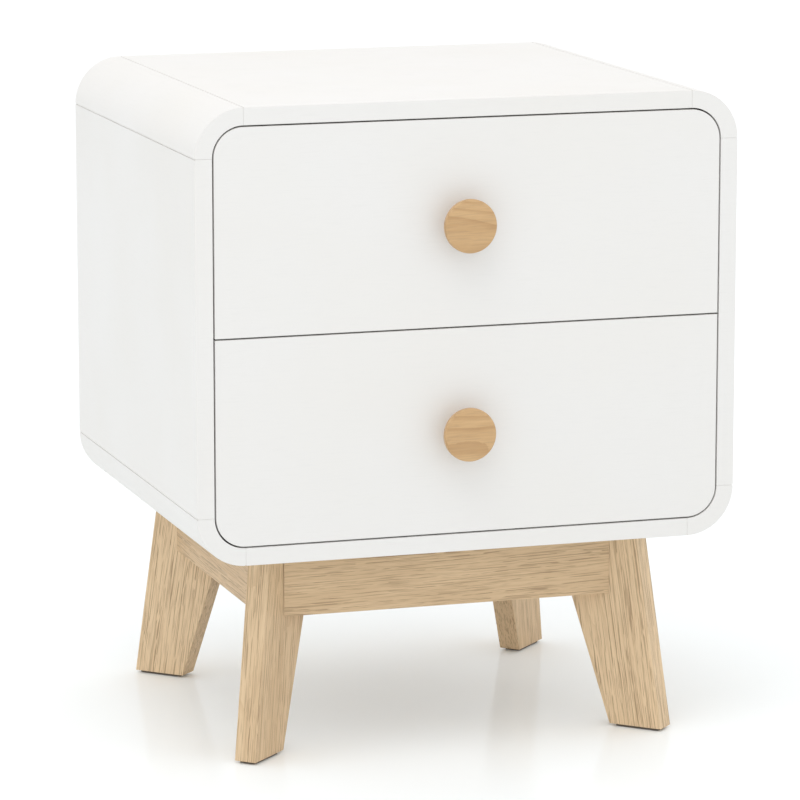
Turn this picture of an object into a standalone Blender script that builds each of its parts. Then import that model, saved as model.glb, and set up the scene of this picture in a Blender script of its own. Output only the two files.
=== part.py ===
"""Two-drawer nightstand: a round-cornered white cabinet on a splayed oak base.

Frame: +Z up, the drawers face -Y, +X is to the right of someone who stands in
front. The origin is on the floor, under the middle of the whole outline, knobs
included. All sizes are in metres.
"""

from math import cos, pi, sin, sqrt

import bmesh
import bpy
from mathutils import Matrix, Vector

# Cabinet
CABINET_WIDTH = 0.400
CABINET_DEPTH = 0.342
CABINET_HEIGHT = 0.322
CORNER_RADIUS = 0.035
WALL = 0.0126
REBATE_WIDTH = 0.006
REBATE_DEPTH = 0.008
BACK_THICKNESS = 0.005

# Base
BASE_HEIGHT = 0.150
FOOT_X = 0.160
FOOT_Y = 0.1465
FOOT_WIDTH = 0.041
LEG_THICKNESS = 0.017
LEG_TOP_OUTER = 0.023
LEG_TOP_INNER = 0.092
APRON_X = 0.1392
APRON_Y = 0.1224
APRON_HEIGHT = 0.050
APRON_THICKNESS = 0.017
PAD_LENGTH = 0.035
PAD_WIDTH = 0.013
PAD_THICKNESS = 0.0015
BLOCK_HEIGHT = 0.030
BLOCK_THICKNESS = 0.020
BLOCK_SPAN = 0.120

# Drawers, measured from the middle of each front's outer face
FRONT_GAP = 0.0011
FRONT_THICKNESS = 0.015
BOX_HALF_WIDTH = 0.1744
BOX_WALL = 0.012
BOX_LENGTH = 0.270
BOX_LOW = -0.062
BOX_TOP = 0.048
BOX_FLOOR = -0.054
FLOOR_THICKNESS = 0.003
GROOVE_DEPTH = 0.005

# Knobs, set a little to the left of each front's middle
KNOB_X = -0.006
KNOB_RADIUS = 0.019
KNOB_LENGTH = 0.019
KNOB_BORE_DEPTH = 0.013

# Ball-bearing slides, three sections each
SLIDE_LENGTH = 0.250
SLIDE_HEIGHT = 0.035
SLIDE_LEVEL = -0.022
SHEET = 0.0012

# Fasteners
LEG_BOLT_RADIUS = 0.003
LEG_BOLT_HEAD_RADIUS = 0.006
LEG_BOLT_HEAD = 0.004
LEG_BOLT_REACH = 0.028
BLOCK_SCREW_RADIUS = 0.002
BLOCK_SCREW_HEAD_RADIUS = 0.004
BLOCK_SCREW_SIDE = 0.022
BLOCK_SCREW_BITE = 0.008
KNOB_SCREW_RADIUS = 0.002
KNOB_SCREW_HEAD_RADIUS = 0.0045
KNOB_SCREW_HEAD = 0.0026
KNOB_SCREW_BITE = 0.012

# Clearances
FIT = 0.0003
ARC_STEPS = 12
KNOB_STEPS = 48
FASTENER_STEPS = 20
PAD_CORNER_STEPS = 3

# Places that follow from the sizes above
CABINET_Y = (KNOB_LENGTH + FIT) / 2
CABINET_TOP = BASE_HEIGHT + CABINET_HEIGHT
HALF_WIDTH = CABINET_WIDTH / 2
HALF_DEPTH = CABINET_DEPTH / 2
STRAIGHT_X = HALF_WIDTH - CORNER_RADIUS
INNER_HALF_WIDTH = HALF_WIDTH - WALL
INNER_RADIUS = CORNER_RADIUS - WALL
FRONT_WIDTH = 2 * (INNER_HALF_WIDTH - FRONT_GAP)
FRONT_HEIGHT = (CABINET_HEIGHT - 2 * WALL - 3 * FRONT_GAP) / 2
LOWER_FRONT_Z = BASE_HEIGHT + WALL + FRONT_GAP + FRONT_HEIGHT / 2
UPPER_FRONT_Z = LOWER_FRONT_Z + FRONT_HEIGHT + FRONT_GAP
BOX_START = FRONT_THICKNESS + FIT
BOX_END = BOX_START + BOX_LENGTH
BLOCK_LOW = BASE_HEIGHT - FIT - BLOCK_HEIGHT
BLOCK_INNER = LEG_TOP_INNER + FIT + BLOCK_THICKNESS
LEG_BOLT_Z = BASE_HEIGHT - FIT - BLOCK_HEIGHT / 2

LEG_CORNERS = {
    "front_left": (-1, -1),
    "front_right": (1, -1),
    "back_left": (-1, 1),
    "back_right": (1, 1),
}
SIDES = {"left": -1, "right": 1}


def clear_scene():
    """Remove every object that a new file starts with."""
    for item in list(bpy.data.objects):
        bpy.data.objects.remove(item, do_unlink=True)


def make_collection(name):
    collection = bpy.data.collections.new(name)
    bpy.context.scene.collection.children.link(collection)
    return collection


def make_material(name, colour, roughness, metallic=0.0):
    """A Principled material with one plain colour."""
    material = bpy.data.materials.new(name)
    material.use_nodes = True
    shader = material.node_tree.nodes["Principled BSDF"]
    shader.inputs["Base Color"].default_value = (*colour, 1.0)
    shader.inputs["Roughness"].default_value = roughness
    shader.inputs["Metallic"].default_value = metallic
    material.diffuse_color = (*colour, 1.0)
    return material


def make_empty(name, location, parent=None):
    empty = bpy.data.objects.new(name, None)
    parts.objects.link(empty)
    empty.parent = parent
    empty.location = location
    return empty


def add_object(name, mesh, material, parent=None, location=(0, 0, 0), rotation=(0, 0, 0)):
    """Put a mesh into the nightstand's collection as one named piece."""
    piece = bpy.data.objects.new(name, mesh)
    if material.name not in mesh.materials:
        mesh.materials.append(material)
    parts.objects.link(piece)
    piece.parent = parent or cabinet_centre
    piece.location = location
    piece.rotation_euler = rotation
    return piece


def add_cutter(name, mesh, location=(0, 0, 0), rotation=(0, 0, 0)):
    """A guide solid that shapes other pieces and isn't a piece itself."""
    cutter = bpy.data.objects.new(name, mesh)
    cutters.objects.link(cutter)
    cutter.parent = cabinet_centre
    cutter.location = location
    cutter.rotation_euler = rotation
    cutter.hide_render = True
    cutter.display_type = "WIRE"
    return cutter


def cut(piece, cutter, operation="DIFFERENCE"):
    modifier = piece.modifiers.new(cutter.name, "BOOLEAN")
    modifier.object = cutter
    modifier.operation = operation
    modifier.solver = "EXACT"


def ease_edges(piece, width, segments=2):
    """Take the sharp edges off a wooden piece."""
    modifier = piece.modifiers.new("eased_edges", "BEVEL")
    modifier.width = width
    modifier.segments = segments
    modifier.limit_method = "ANGLE"
    modifier.angle_limit = pi / 6


def box_mesh(name, size):
    """A box around its own middle."""
    form = bmesh.new()
    bmesh.ops.create_cube(form, size=1.0, matrix=Matrix.Diagonal((*size, 1.0)))
    mesh = bpy.data.meshes.new(name)
    form.to_mesh(mesh)
    form.free()
    return mesh


def cylinder_mesh(name, radius, length, steps=FASTENER_STEPS):
    """A rod along Z around its own middle."""
    form = bmesh.new()
    bmesh.ops.create_cone(
        form, cap_ends=True, segments=steps, radius1=radius, radius2=radius, depth=length
    )
    mesh = bpy.data.meshes.new(name)
    form.to_mesh(mesh)
    form.free()
    return mesh


def arc(centre, radius, start, end, steps=ARC_STEPS):
    """Points of an arc, with its angles in radians."""
    angles = [start + (end - start) * step / steps for step in range(steps + 1)]
    return [(centre[0] + radius * cos(a), centre[1] + radius * sin(a)) for a in angles]


def rounded_rectangle(half_width, low, high, low_radius, high_radius, steps=ARC_STEPS):
    """An upright outline with its own radius at the low and the high corners."""
    right = half_width
    outline = []
    corners = (
        (right, low, low_radius, -pi / 2),
        (right, high, high_radius, 0.0),
        (-right, high, high_radius, pi / 2),
        (-right, low, low_radius, pi),
    )
    for x, y, radius, start in corners:
        inward_x = x - radius if x > 0 else x + radius
        inward_y = y - radius if y == high else y + radius
        if radius > 0:
            outline += arc((inward_x, inward_y), radius, start, start + pi / 2, steps)
        else:
            outline.append((x, y))
    return outline


def plate_mesh(name, outline, thickness):
    """A flat outline, filled and given an even thickness about its own plane."""
    curve = bpy.data.curves.new(name, "CURVE")
    curve.dimensions = "2D"
    curve.fill_mode = "BOTH"
    curve.extrude = thickness / 2
    spline = curve.splines.new("POLY")
    spline.points.add(len(outline) - 1)
    for point, (x, y) in zip(spline.points, outline):
        point.co = (x, y, 0.0, 1.0)
    spline.use_cyclic_u = True
    pattern = bpy.data.objects.new(name, curve)
    bpy.context.scene.collection.objects.link(pattern)
    bpy.context.view_layer.update()
    solid = pattern.evaluated_get(bpy.context.evaluated_depsgraph_get())
    mesh = bpy.data.meshes.new_from_object(solid)
    bpy.data.objects.remove(pattern, do_unlink=True)
    form = bmesh.new()
    form.from_mesh(mesh)
    bmesh.ops.remove_doubles(form, verts=form.verts, dist=0.00001)
    bmesh.ops.recalc_face_normals(form, faces=form.faces)
    form.to_mesh(mesh)
    form.free()
    return mesh


def profile_mesh(name, profile):
    """The edges of a turned shape: (radius, height) points, from its top down."""
    form = bmesh.new()
    points = [form.verts.new((radius, 0.0, height)) for radius, height in profile]
    for first, second in zip(points, points[1:]):
        form.edges.new((first, second))
    mesh = bpy.data.meshes.new(name)
    form.to_mesh(mesh)
    form.free()
    return mesh


def turn_on_lathe(piece, steps):
    """Sweep a profile once round its own Z."""
    turning = piece.modifiers.new("turning", "SCREW")
    turning.axis = "Z"
    turning.steps = steps
    turning.render_steps = steps
    turning.use_merge_vertices = True
    turning.merge_threshold = 0.00001
    turning.use_smooth_shade = True


def add_turned(name, profile, material, steps, parent=None, location=(0, 0, 0), rotation=(0, 0, 0)):
    """A piece turned on a lathe, from its profile."""
    piece = add_object(name, profile_mesh(name, profile), material, parent, location, rotation)
    turn_on_lathe(piece, steps)
    return piece


def leg_frame(side_x, side_y, height):
    """Place and turn of a corner: its X runs outwards along the 45 degree diagonal."""
    outward = Vector((side_x, side_y, 0)).normalized()
    turn = outward.to_2d().angle_signed(Vector((1, 0)))
    return outward, (side_x * FOOT_X, side_y * FOOT_Y, height), turn


def diagonal_point(side_x, side_y, inward, sideways, height):
    """A point measured inwards from a foot, along and across its diagonal."""
    outward, foot, _ = leg_frame(side_x, side_y, height)
    across = Vector((-outward.y, outward.x, 0))
    return Vector(foot) - inward * outward + sideways * across


def leg_inner_edge(height):
    """How far inwards a leg's inner edge is at a height."""
    share = height / BASE_HEIGHT
    return FOOT_WIDTH + (LEG_TOP_INNER - FOOT_WIDTH) * share


def leg_outer_edge(height):
    """How far inwards a leg's outer edge is at a height."""
    return LEG_TOP_OUTER * height / BASE_HEIGHT


def make_carcass():
    """Four flat panels joined by four quarter-round corners, and a rebated back."""
    middle_z = BASE_HEIGHT + CABINET_HEIGHT / 2
    rebate = add_cutter(
        "rebate_cutter",
        plate_mesh(
            "rebate_cutter",
            rounded_rectangle(
                HALF_WIDTH - REBATE_WIDTH,
                -CABINET_HEIGHT / 2 + REBATE_WIDTH,
                CABINET_HEIGHT / 2 - REBATE_WIDTH,
                CORNER_RADIUS - REBATE_WIDTH,
                CORNER_RADIUS - REBATE_WIDTH,
            ),
            2 * REBATE_DEPTH,
        ),
        location=(0, HALF_DEPTH, middle_z),
        rotation=(pi / 2, 0, 0),
    )

    panel_width = 2 * (STRAIGHT_X - FIT)
    levels = {"top": CABINET_TOP - WALL / 2, "bottom": BASE_HEIGHT + WALL / 2}
    for level, z in levels.items():
        name = f"{level}_panel"
        mesh = box_mesh(name, (panel_width, CABINET_DEPTH, WALL))
        panel = add_object(name, mesh, white, location=(0, 0, z))
        cut(panel, rebate)

    panel_height = CABINET_HEIGHT - 2 * (CORNER_RADIUS + FIT)
    for side, sign in SIDES.items():
        name = f"{side}_side_panel"
        mesh = box_mesh(name, (WALL, CABINET_DEPTH, panel_height))
        panel = add_object(name, mesh, white, location=(sign * (HALF_WIDTH - WALL / 2), 0, middle_z))
        cut(panel, rebate)

    quarter = arc((0, 0), CORNER_RADIUS, 0, pi / 2) + arc((0, 0), INNER_RADIUS, pi / 2, 0)
    for side, sign in SIDES.items():
        for level, up in {"top": 1, "bottom": -1}.items():
            name = f"{level}_{side}_corner"
            outline = [(sign * x, up * z) for x, z in quarter]
            centre_z = middle_z + up * (CABINET_HEIGHT / 2 - CORNER_RADIUS)
            corner = add_object(
                name,
                plate_mesh(name, outline, CABINET_DEPTH),
                white,
                location=(sign * STRAIGHT_X, 0, centre_z),
                rotation=(pi / 2, 0, 0),
            )
            cut(corner, rebate)

    inset = REBATE_WIDTH + FIT
    back_outline = rounded_rectangle(
        HALF_WIDTH - inset,
        -CABINET_HEIGHT / 2 + inset,
        CABINET_HEIGHT / 2 - inset,
        CORNER_RADIUS - inset,
        CORNER_RADIUS - inset,
    )
    back_y = HALF_DEPTH - REBATE_DEPTH + FIT + BACK_THICKNESS / 2
    add_object(
        "back_panel",
        plate_mesh("back_panel", back_outline, BACK_THICKNESS),
        board,
        location=(0, back_y, middle_z),
        rotation=(pi / 2, 0, 0),
    )


def make_legs():
    """Four splayed, tapered planks set on the diagonals."""
    low = PAD_THICKNESS + FIT
    high = BASE_HEIGHT - FIT
    outline = [
        (-leg_outer_edge(low), low),
        (-leg_outer_edge(high), high),
        (-leg_inner_edge(high), high),
        (-leg_inner_edge(low), low),
    ]
    bore_length = LEG_BOLT_REACH + BLOCK_THICKNESS
    bore_mesh = cylinder_mesh("leg_bore", LEG_BOLT_RADIUS + FIT, bore_length)
    for corner, (side_x, side_y) in LEG_CORNERS.items():
        _, foot, turn = leg_frame(side_x, side_y, 0)
        name = f"{corner}_leg"
        mesh = plate_mesh(name, outline, LEG_THICKNESS)
        leg = add_object(name, mesh, oak, location=foot, rotation=(pi / 2, 0, turn))
        middle = LEG_TOP_INNER - LEG_BOLT_REACH - FIT + bore_length / 2
        bore = add_cutter(
            f"{corner}_leg_bore",
            bore_mesh,
            location=diagonal_point(side_x, side_y, middle, 0, LEG_BOLT_Z),
            rotation=(0, pi / 2, turn),
        )
        ease_edges(leg, 0.0006, 1)
        cut(leg, bore)


def make_aprons():
    """Four rails whose mitred ends butt against the wide faces of the legs."""
    z = BASE_HEIGHT - FIT - APRON_HEIGHT / 2
    half_leg = (LEG_THICKNESS / 2 + FIT) * sqrt(2)
    for name, sign in {"front_apron": -1, "back_apron": 1}.items():
        outer = APRON_Y
        inner = APRON_Y - APRON_THICKNESS
        outer_end = FOOT_X - FOOT_Y - half_leg + outer
        inner_end = FOOT_X - FOOT_Y - half_leg + inner
        outline = [
            (-outer_end, sign * outer),
            (outer_end, sign * outer),
            (inner_end, sign * inner),
            (-inner_end, sign * inner),
        ]
        add_object(name, plate_mesh(name, outline, APRON_HEIGHT), oak, location=(0, 0, z))
    for side, sign in SIDES.items():
        outer = APRON_X
        inner = APRON_X - APRON_THICKNESS
        outer_end = FOOT_Y - FOOT_X - half_leg + outer
        inner_end = FOOT_Y - FOOT_X - half_leg + inner
        outline = [
            (sign * outer, -outer_end),
            (sign * outer, outer_end),
            (sign * inner, inner_end),
            (sign * inner, -inner_end),
        ]
        name = f"{side}_apron"
        add_object(name, plate_mesh(name, outline, APRON_HEIGHT), oak, location=(0, 0, z))


def make_corner_blocks():
    """Glue blocks behind the legs, between the rails, with their bolts and screws."""
    half_x = APRON_X - APRON_THICKNESS - FIT
    half_y = APRON_Y - APRON_THICKNESS - FIT
    inside = add_cutter(
        "base_inside",
        box_mesh("base_inside", (2 * half_x, 2 * half_y, BASE_HEIGHT)),
        location=(0, 0, BASE_HEIGHT),
    )
    high = BASE_HEIGHT - FIT
    outline = [
        (-leg_inner_edge(BLOCK_LOW) - FIT, BLOCK_LOW),
        (-leg_inner_edge(high) - FIT, high),
        (-BLOCK_INNER, high),
        (-BLOCK_INNER, BLOCK_LOW),
    ]
    bolt_bore = cylinder_mesh("bolt_bore", LEG_BOLT_RADIUS + FIT, 3 * BLOCK_THICKNESS)
    screw_bore = profile_mesh(
        "screw_bore",
        [
            (0, BLOCK_HEIGHT + BLOCK_SCREW_BITE + 2 * FIT),
            (BLOCK_SCREW_RADIUS + FIT, BLOCK_HEIGHT + BLOCK_SCREW_BITE + 2 * FIT),
            (BLOCK_SCREW_RADIUS + FIT, BLOCK_SCREW_HEAD_RADIUS - BLOCK_SCREW_RADIUS),
            (BLOCK_SCREW_HEAD_RADIUS + FIT, 0),
            (BLOCK_SCREW_HEAD_RADIUS + FIT, -BLOCK_SCREW_HEAD_RADIUS),
            (0, -BLOCK_SCREW_HEAD_RADIUS),
        ],
    )
    for corner, (side_x, side_y) in LEG_CORNERS.items():
        _, foot, turn = leg_frame(side_x, side_y, 0)
        name = f"{corner}_block"
        mesh = plate_mesh(name, outline, BLOCK_SPAN)
        block = add_object(name, mesh, pine, location=foot, rotation=(pi / 2, 0, turn))
        cut(block, inside, "INTERSECT")
        bore = add_cutter(
            f"{corner}_block_bore",
            bolt_bore,
            location=diagonal_point(side_x, side_y, LEG_TOP_INNER, 0, LEG_BOLT_Z),
            rotation=(0, pi / 2, turn),
        )
        cut(block, bore)
        make_leg_bolt(corner, side_x, side_y, turn)

        sideways = BLOCK_SCREW_SIDE * side_x * side_y
        inward = BLOCK_INNER - BLOCK_THICKNESS / 2
        place = diagonal_point(side_x, side_y, inward, sideways, BLOCK_LOW)
        screw_cutter = add_cutter(f"{corner}_screw_bore", screw_bore, location=place)
        turn_on_lathe(screw_cutter, FASTENER_STEPS)
        cut(block, screw_cutter)
        cut(bpy.data.objects["bottom_panel"], screw_cutter)
        make_block_screw(corner, place)


def make_leg_bolt(corner, side_x, side_y, turn):
    """A socket-head bolt through a block into the leg's inner edge."""
    shank = BLOCK_THICKNESS + LEG_BOLT_REACH
    radius = LEG_BOLT_RADIUS
    head = LEG_BOLT_HEAD_RADIUS
    profile = [
        (0, shank),
        (radius * 0.6, shank),
        (radius, shank - radius * 0.4),
        (radius, 0),
        (head, 0),
        (head, -LEG_BOLT_HEAD * 0.8),
        (head * 0.85, -LEG_BOLT_HEAD),
        (head * 0.5, -LEG_BOLT_HEAD),
        (head * 0.5, -LEG_BOLT_HEAD * 0.3),
        (0, -LEG_BOLT_HEAD * 0.3),
    ]
    place = diagonal_point(side_x, side_y, BLOCK_INNER + FIT, 0, LEG_BOLT_Z)
    name = f"{corner}_leg_bolt"
    rotation = (0, pi / 2, turn)
    add_turned(name, profile, steel, FASTENER_STEPS, location=place, rotation=rotation)


def make_block_screw(corner, place):
    """A countersunk screw up through a block into the cabinet's bottom panel."""
    radius = BLOCK_SCREW_RADIUS
    head = BLOCK_SCREW_HEAD_RADIUS
    top = BLOCK_HEIGHT + BLOCK_SCREW_BITE
    profile = [
        (0, top),
        (radius, top - 2 * radius),
        (radius, head - radius),
        (head, 0),
        (head * 0.4, 0),
        (0, head * 0.4),
    ]
    add_turned(f"{corner}_block_screw", profile, steel, FASTENER_STEPS, location=place)


def make_foot_pads():
    """A thin pad under each foot, set in a little from its edges."""
    radius = PAD_WIDTH * 0.2
    outline = rounded_rectangle(
        PAD_LENGTH / 2, -PAD_WIDTH / 2, PAD_WIDTH / 2, radius, radius, PAD_CORNER_STEPS
    )
    middle = FOOT_WIDTH / 2
    for corner, (side_x, side_y) in LEG_CORNERS.items():
        _, _, turn = leg_frame(side_x, side_y, 0)
        name = f"{corner}_foot_pad"
        add_object(
            name,
            plate_mesh(name, outline, PAD_THICKNESS),
            rubber,
            location=diagonal_point(side_x, side_y, middle, 0, PAD_THICKNESS / 2),
            rotation=(0, 0, turn),
        )


def make_drawer(level, height):
    """One drawer: an inset front, a grooved box, a floor, a knob and its screw."""
    origin = make_empty(f"{level}_drawer_origin", (0, -HALF_DEPTH, height), cabinet_centre)
    make_drawer_front(level, height, origin)
    make_drawer_box(level, origin)
    make_knob(level, origin)
    for side, sign in SIDES.items():
        make_slide(level, side, sign, height, origin)


def make_drawer_front(level, height, origin):
    """The front follows the cabinet's round corners and is square at the middle gap."""
    round_radius = INNER_RADIUS - FRONT_GAP
    low_radius, high_radius = (0, round_radius) if level == "upper" else (round_radius, 0)
    name = f"{level}_drawer_front"
    outline = rounded_rectangle(
        FRONT_WIDTH / 2, -FRONT_HEIGHT / 2, FRONT_HEIGHT / 2, low_radius, high_radius
    )
    front = add_object(
        name,
        plate_mesh(name, outline, FRONT_THICKNESS),
        white,
        parent=origin,
        location=(0, FRONT_THICKNESS / 2, 0),
        rotation=(pi / 2, 0, 0),
    )
    groove_size = (
        2 * (BOX_HALF_WIDTH - BOX_WALL + GROOVE_DEPTH),
        2 * GROOVE_DEPTH,
        FLOOR_THICKNESS + 2 * FIT,
    )
    groove = add_cutter(
        f"{level}_front_groove",
        box_mesh("front_groove", groove_size),
        location=(0, FRONT_THICKNESS - HALF_DEPTH, height + BOX_FLOOR + FLOOR_THICKNESS / 2),
    )
    cut(front, groove)
    bore = add_cutter(
        f"{level}_front_bore",
        cylinder_mesh("front_bore", KNOB_SCREW_RADIUS + FIT, 3 * FRONT_THICKNESS),
        location=(KNOB_X, FRONT_THICKNESS / 2 - HALF_DEPTH, height),
        rotation=(pi / 2, 0, 0),
    )
    cut(front, bore)


def make_drawer_box(level, origin):
    """Two grooved sides, a back that stands on the floor panel, and the floor."""
    side_middle = BOX_START + BOX_LENGTH / 2
    groove_low = BOX_FLOOR - FIT
    groove_high = BOX_FLOOR + FLOOR_THICKNESS + FIT
    for side, sign in SIDES.items():
        outer = sign * BOX_HALF_WIDTH
        inner = sign * (BOX_HALF_WIDTH - BOX_WALL)
        groove = sign * (BOX_HALF_WIDTH - BOX_WALL + GROOVE_DEPTH)
        outline = [
            (outer, BOX_LOW),
            (outer, BOX_TOP),
            (inner, BOX_TOP),
            (inner, groove_high),
            (groove, groove_high),
            (groove, groove_low),
            (inner, groove_low),
            (inner, BOX_LOW),
        ]
        name = f"{level}_drawer_{side}_side"
        add_object(
            name,
            plate_mesh(name, outline, BOX_LENGTH),
            board,
            parent=origin,
            location=(0, side_middle, 0),
            rotation=(pi / 2, 0, 0),
        )

    back_low = groove_high
    name = f"{level}_drawer_back"
    size = (2 * (BOX_HALF_WIDTH - BOX_WALL - FIT), BOX_WALL, BOX_TOP - back_low)
    add_object(
        name,
        box_mesh(name, size),
        board,
        parent=origin,
        location=(0, BOX_END - BOX_WALL / 2, (BOX_TOP + back_low) / 2),
    )

    floor_start = FRONT_THICKNESS - GROOVE_DEPTH + FIT
    name = f"{level}_drawer_floor"
    size = (
        2 * (BOX_HALF_WIDTH - BOX_WALL + GROOVE_DEPTH - FIT),
        BOX_END - floor_start,
        FLOOR_THICKNESS,
    )
    add_object(
        name,
        box_mesh(name, size),
        board,
        parent=origin,
        location=(0, (BOX_END + floor_start) / 2, BOX_FLOOR + FLOOR_THICKNESS / 2),
    )


def make_knob(level, origin):
    """A turned oak knob: a flat disc on a waisted neck, held by a screw from inside."""
    rim = KNOB_RADIUS
    length = KNOB_LENGTH
    bore = KNOB_SCREW_RADIUS + FIT
    profile = [
        (0, length),
        (rim * 0.93, length),
        (rim * 0.98, length * 0.975),
        (rim, length * 0.93),
        (rim, length * 0.83),
        (rim * 0.97, length * 0.77),
        (rim * 0.80, length * 0.66),
        (rim * 0.56, length * 0.50),
        (rim * 0.46, length * 0.36),
        (rim * 0.44, length * 0.20),
        (rim * 0.48, length * 0.08),
        (rim * 0.55, 0),
        (bore, 0),
        (bore, KNOB_BORE_DEPTH),
        (0, KNOB_BORE_DEPTH),
    ]
    facing = (pi / 2, 0, 0)
    place = (KNOB_X, -FIT, 0)
    add_turned(f"{level}_knob", profile, oak, KNOB_STEPS, origin, place, facing)

    shank = FRONT_THICKNESS + FIT + KNOB_SCREW_BITE
    radius = KNOB_SCREW_RADIUS
    head = KNOB_SCREW_HEAD_RADIUS
    screw_profile = [
        (0, shank),
        (radius, shank - radius),
        (radius, 0),
        (head, 0),
        (head, -KNOB_SCREW_HEAD * 0.4),
        (head * 0.8, -KNOB_SCREW_HEAD * 0.85),
        (head * 0.4, -KNOB_SCREW_HEAD),
        (0, -KNOB_SCREW_HEAD * 0.4),
    ]
    place = (KNOB_X, FRONT_THICKNESS + FIT, 0)
    name = f"{level}_knob_screw"
    add_turned(name, screw_profile, steel, FASTENER_STEPS, origin, place, facing)


def channel(web, lip, half_height):
    """A C-shaped sheet section: web and lip are distances from the cabinet wall."""
    step = SHEET if lip > web else -SHEET
    return [
        (web, -half_height),
        (web, half_height),
        (lip, half_height),
        (lip, half_height - SHEET),
        (web + step, half_height - SHEET),
        (web + step, -half_height + SHEET),
        (lip, -half_height + SHEET),
        (lip, -half_height),
    ]


def make_slide(level, side, sign, height, origin):
    """A three-section slide: one on the cabinet, one between, one on the drawer."""
    gap = INNER_HALF_WIDTH - BOX_HALF_WIDTH
    half = SLIDE_HEIGHT / 2
    sections = {
        "outer": channel(FIT, 0.0085, half),
        "middle": channel(0.003, 0.0102, half - 0.003),
        "inner": channel(gap - FIT, 0.0056, half - 0.006),
    }
    middle_y = BOX_START + 0.0007 + SLIDE_LENGTH / 2
    for section, outline in sections.items():
        name = f"{level}_{side}_slide_{section}"
        placed = [(sign * (INNER_HALF_WIDTH - x), z) for x, z in outline]
        mesh = plate_mesh(name, placed, SLIDE_LENGTH)
        if section == "inner":
            place = (0, middle_y, SLIDE_LEVEL)
            add_object(name, mesh, zinc, origin, location=place, rotation=(pi / 2, 0, 0))
        else:
            place = (0, middle_y - HALF_DEPTH, height + SLIDE_LEVEL)
            add_object(name, mesh, zinc, location=place, rotation=(pi / 2, 0, 0))


clear_scene()
parts = make_collection("nightstand")
cutters = make_collection("cutters")
cabinet_centre = make_empty("cabinet_centre", (0, CABINET_Y, 0))

white = make_material("white_paint", (0.86, 0.86, 0.84), 0.45)
oak = make_material("oak", (0.60, 0.43, 0.25), 0.55)
pine = make_material("pine_block", (0.66, 0.50, 0.31), 0.7)
board = make_material("white_board", (0.80, 0.79, 0.76), 0.6)
steel = make_material("steel", (0.62, 0.62, 0.62), 0.35, 1.0)
zinc = make_material("zinc_plated_steel", (0.70, 0.71, 0.72), 0.3, 1.0)
rubber = make_material("foot_pad", (0.05, 0.045, 0.04), 0.9)

make_carcass()
make_legs()
make_aprons()
make_corner_blocks()
make_foot_pads()
make_drawer("upper", UPPER_FRONT_Z)
make_drawer("lower", LOWER_FRONT_Z)
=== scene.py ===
"""A two-drawer nightstand, finished: painted cabinet, turned knobs and an oak base.

It is laid out as an add-on: each group of like pieces has its own operator, and
the sizes and colours that a user would change are properties of the scene.
"""

from math import cos, pi, radians, sin

import bmesh
import bpy
from bpy.props import FloatProperty, FloatVectorProperty, IntProperty, PointerProperty
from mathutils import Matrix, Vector


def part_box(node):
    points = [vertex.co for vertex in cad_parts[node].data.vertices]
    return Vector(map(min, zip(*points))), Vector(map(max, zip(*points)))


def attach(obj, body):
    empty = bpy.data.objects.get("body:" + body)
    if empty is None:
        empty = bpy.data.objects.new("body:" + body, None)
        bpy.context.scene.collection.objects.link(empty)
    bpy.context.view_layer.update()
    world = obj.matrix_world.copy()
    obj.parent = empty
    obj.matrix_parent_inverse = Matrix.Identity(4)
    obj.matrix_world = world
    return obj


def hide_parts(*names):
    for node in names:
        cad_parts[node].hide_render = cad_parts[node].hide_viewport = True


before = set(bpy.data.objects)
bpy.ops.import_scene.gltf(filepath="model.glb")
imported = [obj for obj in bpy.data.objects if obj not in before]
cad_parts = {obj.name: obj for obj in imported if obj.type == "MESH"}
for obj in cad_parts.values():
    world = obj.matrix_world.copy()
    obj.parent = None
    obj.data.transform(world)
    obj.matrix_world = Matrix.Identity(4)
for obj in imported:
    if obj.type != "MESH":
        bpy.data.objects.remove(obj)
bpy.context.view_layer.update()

bl_info = {
    "name": "Two-drawer nightstand",
    "version": (1, 0, 0),
    "blender": (4, 5, 0),
    "location": "3D View > Sidebar > Nightstand",
    "description": "Builds a round-cornered nightstand on a splayed oak base, piece by piece",
    "category": "Object",
}

MM = 0.001
EDGE_STEPS = 4
BEND_STEPS = 5
X = Vector((1, 0, 0))
Y = Vector((0, 1, 0))
Z = Vector((0, 0, 1))

# Radius and height of the small heads that are repeated
PIN_HEAD = (1.6 * MM, 0.7 * MM)
BOX_SCREW_HEAD = (3.2 * MM, 0.9 * MM)
SLIDE_SCREW_HEAD = (2.6 * MM, 1.0 * MM)
BOX_SCREWS = 2

LEVELS = ("upper", "lower")
SIDES = {"left": -1, "right": 1}
CORNERS = {
    "front_left": (-1, -1),
    "front_right": (1, -1),
    "back_left": (-1, 1),
    "back_right": (1, 1),
}

# The cabinet's own sizes, as the model has them
TOP_LOW, TOP_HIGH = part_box("top_panel")
BOTTOM_LOW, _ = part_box("bottom_panel")
_, RIGHT_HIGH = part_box("right_side_panel")
CORNER_LOW, CORNER_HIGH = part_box("top_right_corner")
BACK_LOW, BACK_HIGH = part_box("back_panel")

FRONT_Y = TOP_LOW.y
REAR_Y = TOP_HIGH.y
HALF_WIDTH = RIGHT_HIGH.x
CABINET_LOW = BOTTOM_LOW.z
CABINET_HIGH = TOP_HIGH.z
WALL = TOP_HIGH.z - TOP_LOW.z
CORNER_RADIUS = CORNER_HIGH.x - CORNER_LOW.x
CORNER_X = HALF_WIDTH - CORNER_RADIUS
CORNER_TOP_Z = CABINET_HIGH - CORNER_RADIUS
CORNER_LOW_Z = CABINET_LOW + CORNER_RADIUS
# The hair's breadth that the model leaves where two of its parts touch
TOUCH = CORNER_X - TOP_HIGH.x
REBATE_Y = BACK_LOW.y - TOUCH
REBATE_RADIUS = CORNER_RADIUS - (HALF_WIDTH - BACK_HIGH.x - TOUCH)


# ---------------- settings


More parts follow.
